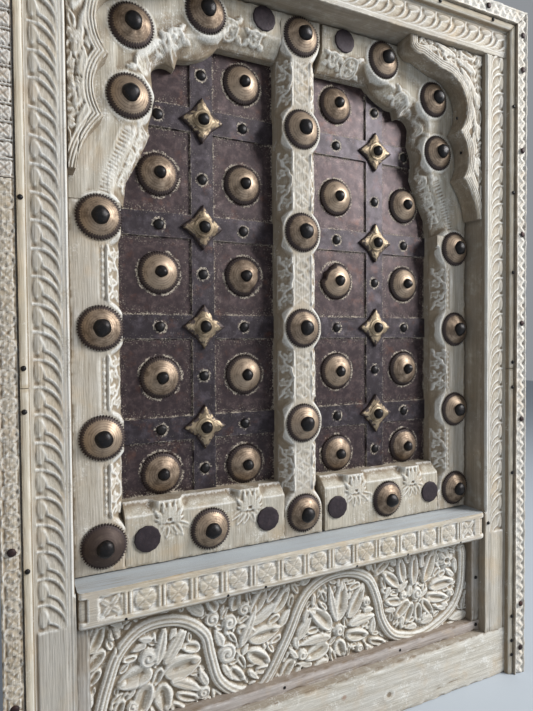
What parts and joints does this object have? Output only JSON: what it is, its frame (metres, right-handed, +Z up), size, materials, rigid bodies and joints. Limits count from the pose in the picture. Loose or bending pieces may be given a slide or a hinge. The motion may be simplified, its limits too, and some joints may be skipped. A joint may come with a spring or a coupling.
{
  "type": "carved wooden window",
  "caption": "Carved wooden window in its frame: inward-opening leaves clad in iron, with cusped arches, brass bosses and forged nails.",
  "frame": {"origin": "centre of the frame's foot, midway through its depth", "axes": "+X to the right seen from the carved front, +Y into the wall, +Z up"},
  "size_m": [0.786, 0.1385, 1.091],
  "materials": {
    "frame_wood": "limed and weathered",
    "leaf_wood": "limed, rubbed brown on the edges",
    "board_wood": "plain sawn boards",
    "sheet_iron": "dark, dull and rust-brown",
    "strap_iron": "dull blue-grey",
    "nail_iron": "black, forged",
    "boss_brass": "aged and tarnished"
  },
  "bodies": {
    "frame": {"batten_left_lower": "frame_wood", "batten_left_upper": "frame_wood", "batten_right_lower": "frame_wood", "batten_right_upper": "frame_wood", "batten_top": "frame_wood", "bottom_rail": "frame_wood", "head_rail": "frame_wood", "jamb_left": "frame_wood", "jamb_right": "frame_wood", "lower_panel": "frame_wood", "panel_bead_bottom": "frame_wood", "panel_bead_left": "frame_wood", "panel_bead_right": "frame_wood", "sill": "frame_wood", "small_nails": "nail_iron", "spandrel_left": "frame_wood", "spandrel_right": "frame_wood", "strip_left_lower": "frame_wood", "strip_left_upper": "frame_wood", "strip_nails": "nail_iron", "strip_right": "frame_wood", "strip_top": "frame_wood"},
    "left_leaf": {"left_arch": "leaf_wood", "left_boss_nails": "nail_iron", "left_cross_straps": "strap_iron", "left_flat_nails": "nail_iron", "left_frame_bosses": "boss_brass", "left_inner_board": "board_wood", "left_iron_sheets": "sheet_iron", "left_leaf_rail": "leaf_wood", "left_ledges": "board_wood", "left_panel_bosses": "boss_brass", "left_panel_nails": "nail_iron", "left_pivot_board": "board_wood", "left_star_bosses": "boss_brass", "left_stile": "leaf_wood", "left_strap_nails": "nail_iron", "left_upright_strap": "strap_iron", "meeting_stile": "leaf_wood"},
    "right_leaf": {"right_arch": "leaf_wood", "right_boss_nails": "nail_iron", "right_cross_straps": "strap_iron", "right_flat_nails": "nail_iron", "right_frame_bosses": "boss_brass", "right_inner_board": "board_wood", "right_iron_sheets": "sheet_iron", "right_leaf_rail": "leaf_wood", "right_ledges": "board_wood", "right_panel_bosses": "boss_brass", "right_panel_nails": "nail_iron", "right_pivot_board": "board_wood", "right_star_bosses": "boss_brass", "right_stile": "leaf_wood", "right_strap_nails": "nail_iron", "right_upright_strap": "strap_iron"}
  },
  "joints": [
    {"name": "left_leaf_hinge", "type": "hinge", "parent": "frame", "child": "left_leaf", "pos_m": [-0.305, 0.0345, 0.279], "axis": [0, 0, 1], "range_deg": [0, 90]},
    {"name": "right_leaf_hinge", "type": "hinge", "parent": "frame", "child": "right_leaf", "pos_m": [0.305, 0.0345, 0.279], "axis": [0, 0, -1], "range_deg": [0, 90]}
  ]
}
